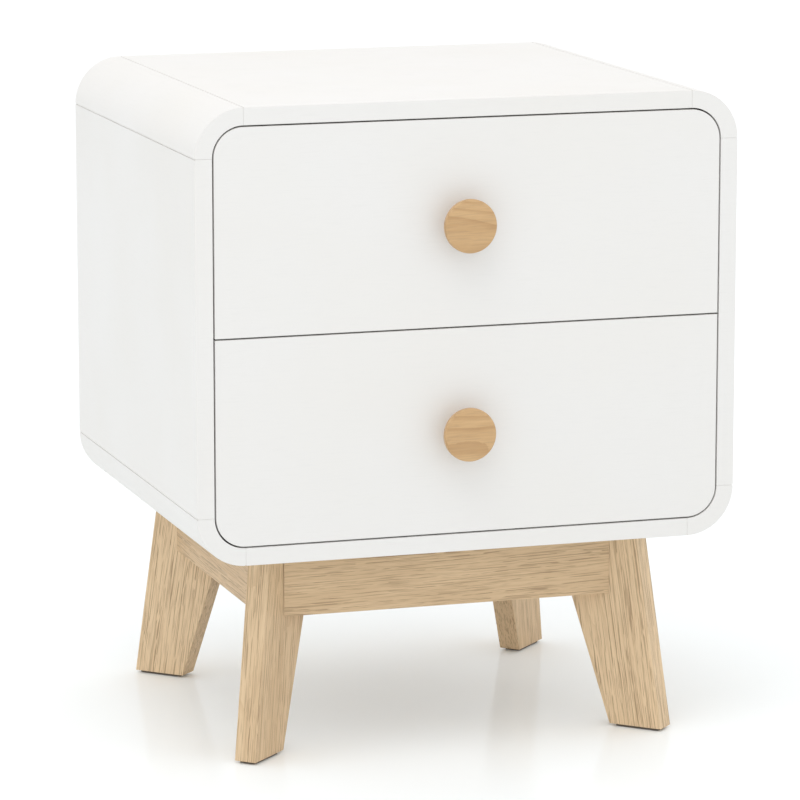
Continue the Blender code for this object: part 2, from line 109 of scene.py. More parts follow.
def colour_property(name, description, default):
    return FloatVectorProperty(
        name=name, description=description, subtype="COLOR", size=3, min=0, max=1, default=default
    )


def length_property(name, description, default):
    return FloatProperty(name=name, description=description, unit="LENGTH", default=default)


def angle_property(name, description, degrees):
    return FloatProperty(
        name=name, description=description, subtype="ANGLE", default=radians(degrees)
    )


def count_property(name, description, least, default):
    return IntProperty(name=name, description=description, min=least, default=default)


class PaintSettings(bpy.types.PropertyGroup):
    """The cabinet's paint and the way its panels meet."""

    colour: colour_property(
        "Paint", "Colour of the cabinet and the drawer fronts", (0.795, 0.784, 0.768)
    )
    board_colour: colour_property(
        "Board", "Colour of the drawer boxes and the back panel", (0.74, 0.735, 0.72)
    )
    edge: length_property("Eased edge", "Radius of the cabinet's eased edges", 0.5 * MM)
    front_edge: length_property(
        "Front edge", "Radius of the drawer fronts' eased edges", 0.5 * MM
    )
    seam: length_property("Seam", "Gap where a flat panel meets a round corner", 0.10 * MM)
    groove: length_property(
        "Seam groove",
        "Depth of the fine groove along each seam, on the outside of the cabinet",
        0.6 * MM,
    )
    groove_width: length_property(
        "Seam groove width", "Width of the groove on each side of its seam", 0.32 * MM
    )
    corner_steps: count_property("Corner steps", "Facets in each quarter-round corner", 6, 28)


class WoodSettings(bpy.types.PropertyGroup):
    """The oak of the base and the knobs."""

    light: colour_property(
        "Light wood", "Colour of the pale wood between the growth rings", (0.782, 0.590, 0.375)
    )
    dark: colour_property("Dark wood", "Colour of the growth rings", (0.636, 0.458, 0.275))
    pore: colour_property("Pores", "Colour of the open pores", (0.370, 0.250, 0.142))
    knob_light: colour_property(
        "Light knob wood", "Colour of the pale wood in the knobs", (0.62, 0.405, 0.205)
    )
    knob_dark: colour_property(
        "Dark knob wood", "Colour of the growth rings in the knobs", (0.45, 0.265, 0.120)
    )
    ring_spacing: length_property(
        "Ring spacing", "Distance from one growth ring to the next", 2.9 * MM
    )
    edge: length_property("Eased edge", "Radius of the legs' and rails' eased edges", 0.55 * MM)
    knob_steps: count_property("Knob steps", "Facets round each knob", 24, 96)


class SlideSettings(bpy.types.PropertyGroup):
    """The ball-bearing slides, and the pins of the back panel."""

    sheet: length_property("Sheet", "Thickness of the pressed sections", 1.2 * MM)
    bend: length_property("Bend", "Outer radius of the sections' bends", 1.9 * MM)
    ball: length_property("Ball", "Radius of a bearing ball", 0.85 * MM)
    balls: count_property("Balls", "Bearing balls in each row", 2, 14)
    screws: count_property("Screws", "Fixing screws in each fixed section", 2, 3)
    pins: count_property("Back panel pins", "Pins along each edge of the back panel", 2, 5)


class StageSettings(bpy.types.PropertyGroup):
    """Floor, lights and camera."""

    floor_colour: colour_property("Floor", "Colour of the floor", (0.945, 0.975, 0.985))
    sky: FloatProperty(
        name="Sky",
        description="Strength of the even white light from all round",
        default=1.06,
    )
    key: FloatProperty(
        name="Key light",
        description="Power of the large soft light above",
        unit="POWER",
        default=9.0,
    )
    azimuth: angle_property(
        "Azimuth", "Direction of the camera round the nightstand", -17.786
    )
    elevation: angle_property("Elevation", "Angle at which the camera looks down", 10.539)
    distance: length_property(
        "Distance", "Distance from the camera to the point it looks at", 3.35
    )
    target: FloatVectorProperty(
        name="Target",
        description="The point that the camera looks at",
        subtype="XYZ",
        size=3,
        default=(0.0027, 0.0097, 0.2281),
    )
    lens: FloatProperty(
        name="Lens",
        description="Focal length, in millimetres on a 36 mm sensor",
        default=203.2,
    )


class NightstandSettings(bpy.types.PropertyGroup):
    """Everything about the nightstand that a user would change."""

    paint: PointerProperty(type=PaintSettings)
    wood: PointerProperty(type=WoodSettings)
    slides: PointerProperty(type=SlideSettings)
    stage: PointerProperty(type=StageSettings)


def settings():
    return bpy.context.scene.nightstand


# ---------------- shapes


def new_mesh(name, form):
    """Turn a bmesh into a mesh and free it."""
    mesh = bpy.data.meshes.new(name)
    form.to_mesh(mesh)
    form.free()
    return mesh


def new_piece(name, mesh):
    """An object at the origin, with its place in its mesh."""
    piece = bpy.data.objects.new(name, mesh)
    bpy.context.scene.collection.objects.link(piece)
    return piece


def arc(centre, radius, start, end, steps):
    """Points of an arc, with its angles in radians."""
    angles = [start + (end - start) * step / steps for step in range(steps + 1)]
    return [(centre[0] + radius * cos(a), centre[1] + radius * sin(a)) for a in angles]


def rounded_outline(low, high, radii, steps):
    """A rectangle's outline from its low right corner anticlockwise, one radius a corner."""
    corners = (
        (high[0], low[1], -pi / 2, -1, 1),
        (high[0], high[1], 0.0, -1, -1),
        (low[0], high[1], pi / 2, 1, -1),
        (low[0], low[1], pi, 1, 1),
    )
    points = []
    for (x, y, start, inward_x, inward_y), radius in zip(corners, radii):
        if radius > 0:
            centre = (x + inward_x * radius, y + inward_y * radius)
            points += arc(centre, radius, start, start + pi / 2, steps)
        else:
            points.append((x, y))
    return points


def prism(name, points, travel):
    """A flat outline of 3D points, pushed along a vector into a closed solid."""
    form = bmesh.new()
    outline = [form.verts.new(point) for point in points]
    face = form.faces.new(outline)
    pushed = bmesh.ops.extrude_face_region(form, geom=[face])
    moved = [item for item in pushed["geom"] if isinstance(item, bmesh.types.BMVert)]
    bmesh.ops.translate(form, verts=moved, vec=travel)
    bmesh.ops.recalc_face_normals(form, faces=form.faces)
    return new_mesh(name, form)


def turned(name, profile, steps, place, axis):
    """A solid of revolution: (radius, height) points, from its top down to its foot."""
    form = bmesh.new()
    points = [form.verts.new((radius, 0, height)) for radius, height in profile]
    edges = [form.edges.new(pair) for pair in zip(points, points[1:])]
    bmesh.ops.spin(
        form, geom=points + edges, cent=(0, 0, 0), axis=(0, 0, 1), angle=2 * pi, steps=steps
    )
    bmesh.ops.remove_doubles(form, verts=form.verts, dist=0.005 * MM)
    bmesh.ops.recalc_face_normals(form, faces=form.faces)
    turn = Z.rotation_difference(axis).to_matrix()
    bmesh.ops.rotate(form, verts=form.verts, cent=(0, 0, 0), matrix=turn)
    bmesh.ops.translate(form, verts=form.verts, vec=place)
    return new_mesh(name, form)


def merged_copy(node):
    """A model node's shape, merged into whole flat faces."""
    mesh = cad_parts[node].data.copy()
    mesh.name = node
    mesh.materials.clear()
    if "custom_normal" in mesh.attributes:
        mesh.attributes.remove(mesh.attributes["custom_normal"])
    form = bmesh.new()
    form.from_mesh(mesh)
    bmesh.ops.remove_doubles(form, verts=form.verts, dist=0.01 * MM)
    bmesh.ops.dissolve_limit(form, angle_limit=radians(0.5), verts=form.verts, edges=form.edges)
    form.to_mesh(mesh)
    form.free()
    return mesh


def settle(piece):
    """Apply a piece's modifiers and leave a plain mesh."""
    bpy.context.view_layer.update()
    solid = piece.evaluated_get(bpy.context.evaluated_depsgraph_get())
    mesh = bpy.data.meshes.new_from_object(solid)
    piece.modifiers.clear()
    piece.data = mesh
    mesh.name = piece.name


def ease(piece, width, segments=3):
    """Round a piece's sharp edges over, and shade it smoothly."""
    piece.data.shade_smooth()
    bevel = piece.modifiers.new("eased_edges", "BEVEL")
    bevel.width = width
    bevel.segments = segments
    bevel.limit_method = "ANGLE"
    bevel.angle_limit = radians(32)
    bevel.harden_normals = True
    settle(piece)


def hollow(piece, cutter_mesh):
    """Cut a shape out of a piece."""
    cutter = new_piece("cutter", cutter_mesh)
    boolean = piece.modifiers.new("hollow", "BOOLEAN")
    boolean.operation = "DIFFERENCE"
    boolean.solver = "EXACT"
    boolean.object = cutter
    settle(piece)
    bpy.data.objects.remove(cutter, do_unlink=True)


def smooth_by_angle(piece, angle=30):
    piece.data.shade_smooth()
    piece.data.set_sharp_from_angle(angle=radians(angle))
    return piece


def store_grain(piece, origin, along, across, shift, shade=0.0):
    """Give a piece its own wood coordinates, X along the grain, and a darkening that holds its
    plank's own tone and any painted shade.
    """
    mesh = piece.data
    along = Vector(along).normalized()
    across = (Vector(across) - Vector(across).dot(along) * along).normalized()
    through = along.cross(across)
    layer = mesh.attributes.new("grain", "FLOAT_VECTOR", "POINT")
    shift = Vector(shift)
    for vertex, value in zip(mesh.vertices, layer.data):
        offset = vertex.co - origin
        value.vector = shift + Vector((offset.dot(along), offset.dot(across), offset.dot(through)))
    tone = mesh.attributes.new("shade", "FLOAT", "POINT")
    tone.data.foreach_set("value", [shade] * len(mesh.vertices))


def place_piece(piece, finish_name, body, node=None):
    """Give a finished piece its finish and body, and hide the model node that it stands for."""
    piece.data.materials.clear()
    piece.data.materials.append(finish(finish_name))
    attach(piece, body)
    if node:
        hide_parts(node)


# ---------------- materials


class Finish:
    """A Principled material, made up node by node."""

    def __init__(self, name):
        self.material = bpy.data.materials.new(name)
        self.material.use_nodes = True
        self.tree = self.material.node_tree
        self.shader = self.tree.nodes["Principled BSDF"]

    def node(self, kind, inputs=None, **options):
        """Add a node. An input that is a socket is linked, and any other is a value."""
        item = self.tree.nodes.new(kind)
        for option, value in options.items():
            setattr(item, option, value)
        for key, value in (inputs or {}).items():
            self.feed(item, key, value)
        return item

    def feed(self, item, key, value):
        if isinstance(value, bpy.types.NodeSocket):
            self.tree.links.new(value, item.inputs[key])
        else:
            item.inputs[key].default_value = value

    def set(self, **values):
        for key, value in values.items():
            self.feed(self.shader, key.replace("_", " "), value)

    def sum(self, operation, first, second=0.0, third=0.0):
        item = self.node("ShaderNodeMath", {0: first, 1: second, 2: third}, operation=operation)
        return item.outputs[0]

    def vector(self, operation, *inputs):
        item = self.node("ShaderNodeVectorMath", dict(enumerate(inputs)), operation=operation)
        return item.outputs[0]

    def noise(self, place, scale, detail=2.0, roughness=0.5, output="Fac"):
        """Noise over a place. A scale of three numbers stretches it."""
        if isinstance(scale, tuple):
            place = self.vector("MULTIPLY", place, scale)
            scale = 1.0
        inputs = {"Vector": place, "Scale": scale, "Detail": detail, "Roughness": roughness}
        return self.node("ShaderNodeTexNoise", inputs).outputs[output]

    def span(self, value, low, high, to_low=0.0, to_high=1.0):
        """Carry a value from one range to another, held at both ends."""
        inputs = {0: value, 1: low, 2: high, 3: to_low, 4: to_high}
        return self.node("ShaderNodeMapRange", inputs, clamp=True).outputs[0]

    def mix(self, share, first, second):
        """Mix two colours."""
        item = self.node("ShaderNodeMix", data_type="RGBA")
        self.feed(item, 0, share)
        for index, colour in ((6, first), (7, second)):
            linked = isinstance(colour, bpy.types.NodeSocket)
            self.feed(item, index, colour if linked else (*colour, 1.0))
        return item.outputs[2]

    def bump(self, height, strength, distance):
        inputs = {"Height": height, "Strength": strength, "Distance": distance}
        return self.node("ShaderNodeBump", inputs).outputs[0]

    def object_place(self):
        return self.node("ShaderNodeTexCoord").outputs["Object"]

    def edge_wear_and_highlight(self, reach):
        """How near a place is to an edge, with some chance: a mask for edge wear, and on the wood
        for a painted highlight too.
        """
        eased = self.node("ShaderNodeBevel", {"Radius": reach}, samples=4).outputs[0]
        flat = self.node("ShaderNodeNewGeometry").outputs["True Normal"]
        bend = self.node("ShaderNodeVectorMath", {0: eased, 1: flat}, operation="DOT_PRODUCT")
        near = self.span(bend.outputs["Value"], 0.82, 0.99, 1.0, 0.0)
        patch = self.noise(self.object_place(), 90.0, 2.0, 0.6)
        return self.sum("MULTIPLY", near, self.span(patch, 0.40, 0.60, 0.35, 1.0))


def tinted(colour, red, green, blue):
    return (colour[0] * red, colour[1] * green, colour[2] * blue)


def paint_finish():
    """Satin white paint with a very faint grain, a little warmer where it is thin."""
    paint = Finish("satin_paint")
    colour = settings().paint.colour
    place = paint.object_place()
    cloud = paint.noise(place, 7.0, 3.0, 0.55)
    streak = paint.noise(place, (55, 55, 900), 3.0, 0.6)
    speck = paint.noise(place, 1500.0, 2.0, 0.6)
    warm = tinted(colour, 0.992, 0.984, 0.965)
    shade = paint.mix(paint.span(cloud, 0.35, 0.7, 0.0, 0.7), colour, warm)
    fine = tinted(colour, 0.965, 0.965, 0.962)
    shade = paint.mix(paint.span(streak, 0.52, 0.72, 0.0, 0.5), shade, fine)
    shade = paint.mix(paint.edge_wear_and_highlight(0.7 * MM), shade, warm)
    paint.set(
        Base_Color=shade,
        Roughness=paint.span(cloud, 0.3, 0.7, 0.40, 0.50),
        Normal=paint.bump(paint.sum("MULTIPLY_ADD", streak, 0.6, speck), 0.22, 0.06 * MM),
        IOR=1.46,
    )
    return paint.material


def board_finish():
    """White-faced board: matt, with a fine linen print."""
    board = Finish("faced_board")
    colour = settings().paint.board_colour
    place = board.object_place()
    warp = board.noise(place, (1100, 140, 140), 2.0)
    weft = board.noise(place, (140, 1100, 1100), 2.0)
    linen = board.sum("ADD", warp, weft)
    fine = tinted(colour, 0.94, 0.94, 0.94)
    cloud = board.noise(place, 9.0, 3.0)
    board.set(
        Base_Color=board.mix(board.span(linen, 0.85, 1.2, 0.0, 0.8), colour, fine),
        Roughness=board.span(cloud, 0.3, 0.7, 0.52, 0.64),
        Normal=board.bump(linen, 0.2, 0.05 * MM),
    )
    return board.material


def wood_finish(name, light, dark, pore, ring_spacing, pore_strength=0.9, roughness=0.5):
    """Open-pored wood: growth rings, fibres and dark pores along its own grain, with each piece's
    stored darkening (its own tone, and painted shade on the base) and edges lightened by wear and
    a painted highlight.
    """
    wood = Finish(name)
    grain = wood.node("ShaderNodeAttribute", attribute_name="grain").outputs["Vector"]

    sway = wood.noise(grain, (6, 15, 15), 2.0, 0.45, "Color")
    sway = wood.vector("SUBTRACT", sway, (0.5, 0.5, 0.5))
    ring_swing = 0.026
    fibre_swing = 0.003
    figure = wood.vector("MULTIPLY_ADD", sway, (0.0, ring_swing, ring_swing), grain)
    bent = wood.vector("MULTIPLY_ADD", sway, (0.0, fibre_swing, fibre_swing), grain)
    rings = wood.node(
        "ShaderNodeTexWave",
        {
            "Vector": figure,
            "Scale": 2 * pi / (20 * ring_spacing),
            "Distortion": 0.5,
            "Detail": 3.0,
            "Detail Scale": 2.0,
            "Detail Roughness": 0.6,
        },
        wave_type="RINGS",
        rings_direction="X",
        wave_profile="SAW",
    ).outputs["Fac"]
    late = wood.span(rings, 0.58, 0.97)
    early = wood.span(rings, 0.10, 0.80, 1.0, 0.55)

    fibre = wood.noise(bent, (9, 640, 640), 2.0, 0.5)
    broad = wood.noise(grain, (9, 55, 55), 2.0)
    streak = wood.noise(bent, (17, 1250, 1250), 0.0, 0.4)
    breaks = wood.noise(bent, (80, 1000, 1000), 0.0, 0.4)
    fine = wood.noise(bent, (60, 1900, 1900), 1.0, 0.4)
    streaks = wood.sum("MULTIPLY", wood.span(streak, 0.55, 0.60), wood.span(breaks, 0.34, 0.42))
    pores = wood.sum("MULTIPLY", wood.span(fine, 0.56, 0.66), 0.55)
    pores = wood.sum("MULTIPLY", wood.sum("MAXIMUM", streaks, pores), early)

    tone = wood.sum("MULTIPLY_ADD", late, 0.52, wood.span(fibre, 0.32, 0.68, 0.02, 0.32))
    tone = wood.sum("ADD", tone, wood.span(broad, 0.35, 0.65, -0.12, 0.26))
    # The stored darkening: each plank's own tone, with painted light and shade on the legs and
    # rails
    shade = wood.node("ShaderNodeAttribute", attribute_name="shade").outputs["Fac"]
    tone = wood.sum("ADD", tone, shade)
    colour = wood.mix(wood.span(tone, 0.0, 1.0), light, dark)
    colour = wood.mix(wood.sum("MULTIPLY", pores, pore_strength), colour, pore)
    # Lighter along the edges: partly wear, partly a painted highlight on the eased edges
    rubbed_and_highlit = wood.edge_wear_and_highlight(0.9 * MM)
    colour = wood.mix(wood.sum("MULTIPLY", rubbed_and_highlit, 0.55), colour, light)
    relief = wood.sum("MULTIPLY_ADD", pores, -1.0, wood.span(fibre, 0.3, 0.7, 0.0, 0.35))
    wood.set(
        Base_Color=colour,
        Roughness=wood.span(fibre, 0.3, 0.7, roughness - 0.05, roughness + 0.09),
        Normal=wood.bump(relief, 0.35, 0.12 * MM),
        IOR=1.45,
    )
    return wood.material


def oak_finish():
    wood = settings().wood
    return wood_finish("base_oak", wood.light, wood.dark, wood.pore, wood.ring_spacing)


def knob_finish():
    """The same oak, richer in colour and smoother from the lathe."""
    wood = settings().wood
    return wood_finish(
        "knob_oak", wood.knob_light, wood.knob_dark, wood.pore, 3.6 * MM, 0.30, 0.46
    )


def pine_finish():
    """Plain softwood: wide rings and hardly any pores."""
    light, dark, pore = (0.66, 0.50, 0.31), (0.56, 0.36, 0.18), (0.45, 0.30, 0.16)
    return wood_finish("softwood", light, dark, pore, 4.5 * MM, 0.2, 0.66)


def metal_finish(name, colour, roughness):
    """Plated steel: fine drawn lines and a slightly cloudy plating."""
    metal = Finish(name)
    place = metal.object_place()
    cloud = metal.noise(place, 60.0, 3.0, 0.6)
    drawn = metal.noise(place, (2600, 60, 2600), 3.0)
    dull = tinted(colour, 0.86, 0.86, 0.86)
    metal.set(
        Base_Color=metal.mix(metal.span(cloud, 0.35, 0.7), colour, dull),
        Roughness=metal.span(drawn, 0.3, 0.7, roughness - 0.07, roughness + 0.09),
        Normal=metal.bump(drawn, 0.12, 0.02 * MM),
        Metallic=1.0,
    )
    return metal.material


def steel_finish():
    return metal_finish("bright_steel", (0.58, 0.585, 0.59), 0.30)


def zinc_finish():
    return metal_finish("plated_zinc", (0.66, 0.675, 0.69), 0.33)


def pad_finish():
    """Dark pressed felt."""
    pad = Finish("pressed_felt")
    place = pad.object_place()
    hair = pad.noise(place, 2200.0, 4.0, 0.7)
    pad.set(
        Base_Color=pad.mix(pad.span(hair, 0.3, 0.7), (0.11, 0.092, 0.075), (0.19, 0.165, 0.14)),
        Roughness=pad.span(hair, 0.3, 0.7, 0.85, 0.97),
        Normal=pad.bump(hair, 0.6, 0.15 * MM),
    )
    return pad.material


def floor_finish():
    """A pale, softly glossy floor."""
    floor = Finish("pale_floor")
    colour = settings().stage.floor_colour
    cloud = floor.noise(floor.object_place(), 1.5, 2.0)
    pale = tinted(colour, 0.995, 0.995, 0.995)
    floor.set(
        Base_Color=floor.mix(floor.span(cloud, 0.4, 0.6), colour, pale),
        Roughness=0.14,
        IOR=1.10,
        Emission_Color=(0.95, 1.0, 1.0, 1.0),
        Emission_Strength=0.04,
    )
    return floor.material


# Each finish's maker, and the model's slot that it stands for
FINISHES = {
    "satin_paint": (paint_finish, "white_paint"),
    "faced_board": (board_finish, "white_board"),
    "base_oak": (oak_finish, "oak"),
    "knob_oak": (knob_finish, "oak"),
    "softwood": (pine_finish, "pine"),
    "bright_steel": (steel_finish, "steel"),
    "plated_zinc": (zinc_finish, "zinc"),
    "pressed_felt": (pad_finish, "foot_pad"),
    "pale_floor": (floor_finish, None),
}


def finish(name):
    """A finish by its name, made the first time that it is asked for."""
    return bpy.data.materials.get(name) or FINISHES[name][0]()


# ---------------- repeated pieces


def repeat_tree():
    """A node tree that sets copies of one piece evenly along every edge of a mesh."""
    known = bpy.data.node_groups.get("repeat_along_edges")
    if known:
        return known
    tree = bpy.data.node_groups.new("repeat_along_edges", "GeometryNodeTree")
    tree.is_modifier = True
    sockets = (
        ("Rows", "INPUT", "NodeSocketGeometry"),
        ("Piece", "INPUT", "NodeSocketObject"),
        ("Number in a row", "INPUT", "NodeSocketInt"),
        ("Material", "INPUT", "NodeSocketMaterial"),
        ("Pieces", "OUTPUT", "NodeSocketGeometry"),
    )
    for name, direction, kind in sockets:
        tree.interface.new_socket(name, in_out=direction, socket_type=kind)
    given = tree.nodes.new("NodeGroupInput")
    made = tree.nodes.new("NodeGroupOutput")
    curve = tree.nodes.new("GeometryNodeMeshToCurve")
    spaced = tree.nodes.new("GeometryNodeResampleCurve")
    shape = tree.nodes.new("GeometryNodeObjectInfo")
    copies = tree.nodes.new("GeometryNodeInstanceOnPoints")
    real = tree.nodes.new("GeometryNodeRealizeInstances")
    coat = tree.nodes.new("GeometryNodeSetMaterial")
    shape.transform_space = "ORIGINAL"
    links = (
        (given, "Rows", curve, "Mesh"),
        (curve, "Curve", spaced, "Curve"),
        (given, "Number in a row", spaced, "Count"),
        (given, "Piece", shape, "Object"),
        (spaced, "Curve", copies, "Points"),
        (shape, "Geometry", copies, "Instance"),
        (copies, "Instances", real, "Geometry"),
        (real, "Geometry", coat, "Geometry"),
        (given, "Material", coat, "Material"),
        (coat, "Geometry", made, "Pieces"),
    )
    for start, output, end, goal in links:
        tree.links.new(start.outputs[output], end.inputs[goal])
    return tree


def repeat(name, shape_mesh, rows, number, body):
    """Steel copies of a small shape along straight rows, as one plain mesh on a body."""
    form = bmesh.new()
    for start, end in rows:
        form.edges.new((form.verts.new(start), form.verts.new(end)))
    piece = new_piece(name, new_mesh(name, form))
    shape = new_piece("shape", shape_mesh)
    modifier = piece.modifiers.new("repeat", "NODES")
    modifier.node_group = repeat_tree()
    sockets = {
        item.name: item.identifier
        for item in modifier.node_group.interface.items_tree
        if item.in_out == "INPUT"
    }
    modifier[sockets["Piece"]] = shape
    modifier[sockets["Number in a row"]] = number
    modifier[sockets["Material"]] = finish("bright_steel")
    settle(piece)
    bpy.data.objects.remove(shape, do_unlink=True)
    place_piece(piece, "bright_steel", body)


def ball_mesh(radius):
    form = bmesh.new()
    bmesh.ops.create_uvsphere(form, u_segments=12, v_segments=8, radius=radius)
    mesh = new_mesh("ball", form)
    mesh.shade_smooth()
    return mesh


def screw_head_mesh(radius, height, axis):
    """A low domed screw head with a recess, whose flat side is at the origin."""
    steps = 5
    sides = 20
    rim = 0.35
    dome = []
    for step in range(2, steps + 1):
        turn = pi / 2 * step / steps
        dome.append((radius * sin(turn), height * (rim + (1 - rim) * cos(turn))))
    recess = [(0, height * 0.45), (radius * 0.22, height * 0.5), (radius * 0.30, height * 0.98)]
    profile = recess + dome + [(radius, 0), (0, 0)]
    mesh = turned("screw_head", profile, sides, (0, 0, 0), axis)
    mesh.shade_smooth()
    mesh.set_sharp_from_angle(angle=radians(35))
    return mesh


# ---------------- the cabinet


def wall_section(groove, inset):
    """The wall's section, as (depth, y) points, with round front edges and a rear rebate."""
    edge = settings().paint.edge
    front = FRONT_Y + inset
    rebate = CORNER_RADIUS - REBATE_RADIUS
    points = [(groove, REAR_Y), (rebate, REAR_Y), (rebate, REBATE_Y), (WALL, REBATE_Y)]
    points += arc((WALL - edge, front + edge), edge, 0, -pi / 2, EDGE_STEPS)
    points += arc((groove + edge, front + edge), edge, -pi / 2, -pi, EDGE_STEPS)
    return points


def wall_stations(length, steps):
    """Distances along a wall with the groove depth and front inset at each, seam to seam."""
    paint = settings().paint
    chamfer = 0.1 * MM
    start = [
        (0, paint.groove, chamfer),
        (chamfer, paint.groove, 0),
        (paint.groove_width, paint.groove, 0),
        (paint.groove_width + chamfer, 0, 0),
    ]
    middle = [(length * step / steps, 0, 0) for step in range(1, steps)]
    end = [(length - distance, groove, inset) for distance, groove, inset in reversed(start)]
    return start + middle + end


def build_wall(node, length, steps, place):
    """A wall of one section along a straight or round path, as place(distance, depth, y)."""
    form = bmesh.new()
    rings = []
    for distance, groove, inset in wall_stations(length, steps):
        section = wall_section(groove, inset)
        rings.append([form.verts.new(place(distance, depth, y)) for depth, y in section])
    for here, there in zip(rings, rings[1:]):
        for index in range(len(here)):
            other = (index + 1) % len(here)
            form.faces.new((here[index], here[other], there[other], there[index]))
    form.faces.new(rings[0])
    form.faces.new(rings[-1])
    bmesh.ops.recalc_face_normals(form, faces=form.faces)
    piece = smooth_by_angle(new_piece(f"painted_{node}", new_mesh(node, form)))
    piece.modifiers.new("flat_faces", "WEIGHTED_NORMAL").keep_sharp = True
    settle(piece)
    place_piece(piece, "satin_paint", "cabinet", node)


def build_flat_walls():
    seam = settings().paint.seam / 2
    reach = CORNER_X - seam

    def top(along, depth, y):
        return (along - reach, y, CABINET_HIGH - depth)

    def bottom(along, depth, y):
        return (along - reach, y, CABINET_LOW + depth)

    build_wall("top_panel", 2 * reach, 1, top)
    build_wall("bottom_panel", 2 * reach, 1, bottom)
    low = CORNER_LOW_Z + seam
    height = CORNER_TOP_Z - seam - low
    for side, sign in SIDES.items():

        def upright(along, depth, y, sign=sign):
            return (sign * (HALF_WIDTH - depth), y, low + along)

        build_wall(f"{side}_side_panel", height, 1, upright)


def build_round_corners():
    """Each corner is the wall's section turned through a quarter circle."""
    paint = settings().paint
    seam = paint.seam / 2
    length = CORNER_RADIUS * pi / 2 - 2 * seam
    for side, sign in SIDES.items():
        for level, up in {"top": 1, "bottom": -1}.items():
            middle_z = CORNER_TOP_Z if up > 0 else CORNER_LOW_Z

            def turn(along, depth, y, sign=sign, up=up, middle_z=middle_z):
                angle = (seam + along) / CORNER_RADIUS
                radius = CORNER_RADIUS - depth
                x = CORNER_X + radius * cos(angle)
                return (sign * x, y, middle_z + up * radius * sin(angle))

            build_wall(f"{level}_{side}_corner", length, paint.corner_steps, turn)


def build_back_panel():
    """The back board and the pins that hold it in its rebate."""
    edge = HALF_WIDTH - REBATE_RADIUS
    outline = rounded_outline(
        (BACK_LOW.x, BACK_LOW.z),
        (BACK_HIGH.x, BACK_HIGH.z),
        [BACK_HIGH.x - edge] * 4,
        settings().paint.corner_steps,
    )
    points = [(x, BACK_LOW.y, z) for x, z in outline]
    travel = (0, BACK_HIGH.y - BACK_LOW.y, 0)
    panel = new_piece("back_board", prism("back_board", points, travel))
    ease(panel, 0.3 * MM, 2)
    place_piece(panel, "faced_board", "cabinet", "back_panel")

    inset = 4.0 * MM
    left, right = BACK_LOW.x + inset, BACK_HIGH.x - inset
    low, high = BACK_LOW.z + inset, BACK_HIGH.z - inset
    y = BACK_HIGH.y
    x = CORNER_X
    rows = [
        ((-x, y, high), (x, y, high)),
        ((-x, y, low), (x, y, low)),
        ((left, y, CORNER_LOW_Z), (left, y, CORNER_TOP_Z)),
        ((right, y, CORNER_LOW_Z), (right, y, CORNER_TOP_Z)),
    ]
    head = screw_head_mesh(*PIN_HEAD, Y)
    repeat("back_pins", head, rows, settings().slides.pins, "cabinet")


# ---------------- the base


# Where in the log each plank grew, and how much darker its wood is than the middle tone: partly
# each plank's own tone and partly painted light and shade for how the light falls on each leg
LEG_GROWTH_AND_SHADE = {
    "front_left": ((0.35, 0.034, 0.012), 0.30),
    "front_right": ((1.10, 0.060, 0.055), -0.20),
    "back_left": ((1.95, 0.004, 0.016), -0.34),
    "back_right": ((2.70, 0.047, 0.031), 0.60),
}
RAIL_GROWTH = {
    "front_apron": (4.2, 0.052, 0.026),
    "back_apron": (5.1, 0.018, 0.044),
    "left_apron": (6.3, 0.044, 0.020),
    "right_apron": (7.4, 0.030, 0.052),
}
# Painted shade: the rails are darkened as if in the shadow of the cabinet above them
RAIL_PAINTED_SHADE = 0.60
# Painted shade on each leg's faces turned further inwards than INWARD, as if shaded under the
# cabinet
INNER_FACE_PAINTED_SHADE = 0.7
INWARD = -0.6
NEAR_END = 1.5 * MM


def diagonal(corner):
    """A corner's direction outwards, and the direction across it."""
    outward = Vector((*CORNERS[corner], 0)).normalized()
    return outward, Vector((-outward.y, outward.x, 0))


def reach_along(node, direction, level=None):
    """How far a node reaches along a direction, in all or only near one height."""
    spread = [
        vertex.co.dot(direction)
        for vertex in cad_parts[node].data.vertices
        if level is None or abs(vertex.co.z - level) < NEAR_END
    ]
    return min(spread), max(spread)


def leg_plank(node, outward, across):
    """A leg's corner points at mid-thickness, and its thickness."""
    near, far = reach_along(node, across)
    middle = across * (near + far) / 2
    low_z, high_z = [corner.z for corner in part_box(node)]
    low_inner, low_outer = reach_along(node, outward, low_z)
    high_inner, high_outer = reach_along(node, outward, high_z)
    corners = (
        (low_outer, low_z),
        (high_outer, high_z),
        (high_inner, high_z),
        (low_inner, low_z),
    )
    return [middle + outward * reach + Z * z for reach, z in corners], far - near


def build_legs():
    for corner, (shift, shade) in LEG_GROWTH_AND_SHADE.items():
        node = f"{corner}_leg"
        outward, across = diagonal(corner)
        points, thickness = leg_plank(node, outward, across)
        faces = [point - across * thickness / 2 for point in points]
        leg = new_piece(f"oak_{node}", prism(node, faces, across * thickness))
        ease(leg, settings().wood.edge)
        low_outer, high_outer = points[:2]
        store_grain(leg, low_outer, high_outer - low_outer, outward, shift, shade)
        # Painted shade: the faces turned inwards, under the cabinet, are darkened as if in shadow
        tone = leg.data.attributes["shade"].data
        for vertex, normal in zip(leg.data.vertices, leg.data.vertex_normals):
            if normal.vector.dot(outward) < INWARD:
                tone[vertex.index].value += INNER_FACE_PAINTED_SHADE
        place_piece(leg, "base_oak", "cabinet", node)


